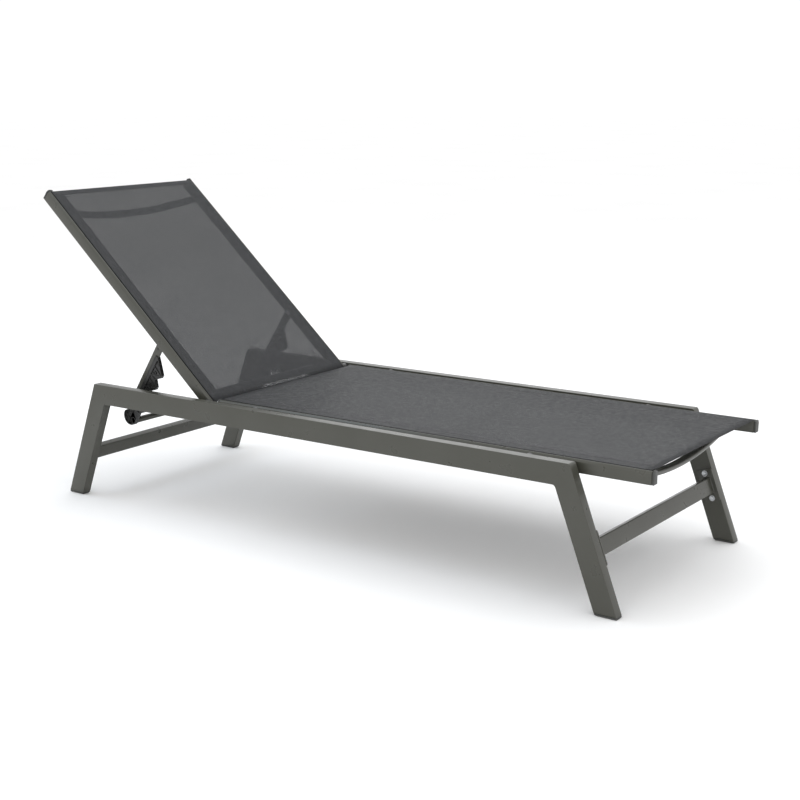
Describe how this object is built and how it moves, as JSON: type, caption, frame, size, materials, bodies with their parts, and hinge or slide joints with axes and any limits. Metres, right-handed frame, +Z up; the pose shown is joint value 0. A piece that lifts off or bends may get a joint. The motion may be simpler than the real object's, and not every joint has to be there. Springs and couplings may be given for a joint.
{
  "type": "reclining sun lounger",
  "caption": "Low tube-frame sun lounger with splayed legs, stretched mesh slings and a hinged backrest held at several angles by a toothed prop.",
  "frame": {"origin": "on the floor under the middle of the lounger's box, with the backrest at its third notch", "axes": "+X towards the foot end, +Y to the left of someone lying on it, +Z up"},
  "size_m": [1.8096, 0.624, 0.8168],
  "materials": {
    "powder_coat": "warm dark grey powder coat, satin",
    "black_plastic": "moulded black plastic, matt",
    "grey_plastic": "moulded grey plastic end pieces, satin",
    "zinc_steel": "bright zinc plate",
    "sling_mesh": "woven coated yarn mesh, slightly see-through"
  },
  "bodies": {
    "frame": {"right_side_rail": "powder_coat", "left_side_rail": "powder_coat", "right_head_leg": "powder_coat", "left_head_leg": "powder_coat", "right_foot_leg": "powder_coat", "left_foot_leg": "powder_coat", "right_crossbar_plate": "powder_coat", "left_crossbar_plate": "powder_coat", "right_seat_rail": "powder_coat", "left_seat_rail": "powder_coat", "right_catch_bracket": "powder_coat", "left_catch_bracket": "powder_coat", "head_crossbar": "powder_coat", "foot_crossbar": "powder_coat", "foot_spreader": "powder_coat", "middle_spreader": "powder_coat", "head_spreader": "powder_coat", "right_head_leg_cap": "grey_plastic", "left_head_leg_cap": "grey_plastic", "right_foot_leg_cap": "grey_plastic", "left_foot_leg_cap": "grey_plastic", "right_seat_rail_cap": "grey_plastic", "left_seat_rail_cap": "grey_plastic", "right_upper_plate_bolt": "zinc_steel", "left_upper_plate_bolt": "zinc_steel", "right_lower_plate_bolt": "zinc_steel", "left_lower_plate_bolt": "zinc_steel", "right_head_seat_bolt": "zinc_steel", "left_head_seat_bolt": "zinc_steel", "right_foot_seat_bolt": "zinc_steel", "left_foot_seat_bolt": "zinc_steel", "right_hinge_bolt": "zinc_steel", "left_hinge_bolt": "zinc_steel", "right_catch_pin": "zinc_steel", "left_catch_pin": "zinc_steel", "right_head_seat_spacer": "black_plastic", "left_head_seat_spacer": "black_plastic", "right_foot_seat_spacer": "black_plastic", "left_foot_seat_spacer": "black_plastic", "right_hinge_spacer": "black_plastic", "left_hinge_spacer": "black_plastic", "right_seat_keder": "black_plastic", "left_seat_keder": "black_plastic", "seat_sling": "sling_mesh"},
    "backrest": {"right_back_rail": "powder_coat", "left_back_rail": "powder_coat", "right_back_rail_cap": "grey_plastic", "left_back_rail_cap": "grey_plastic", "top_spreader": "powder_coat", "lower_bar": "powder_coat", "back_sling": "sling_mesh", "right_back_keder": "black_plastic", "left_back_keder": "black_plastic", "right_prop_bolt": "zinc_steel", "left_prop_bolt": "zinc_steel"},
    "prop": {"right_prop_arm": "powder_coat", "left_prop_arm": "powder_coat", "right_toothed_rack": "black_plastic", "left_toothed_rack": "black_plastic", "prop_cross_tube": "powder_coat"}
  },
  "joints": [
    {"name": "back_recline", "type": "hinge", "parent": "frame", "child": "backrest", "pos_m": [-0.32568, 0, 0.302], "axis": [0, 1, 0], "range_deg": [-41.5, 10.86]},
    {"name": "prop_swing", "type": "hinge", "parent": "backrest", "child": "prop", "pos_m": [-0.49419, 0, 0.45109], "axis": [0, 1, 0], "range_deg": [-8.6, 32.8]}
  ],
  "couplings": [
    {"joint": "prop_swing", "follows": "back_recline", "ratio": -0.7903}
  ]
}
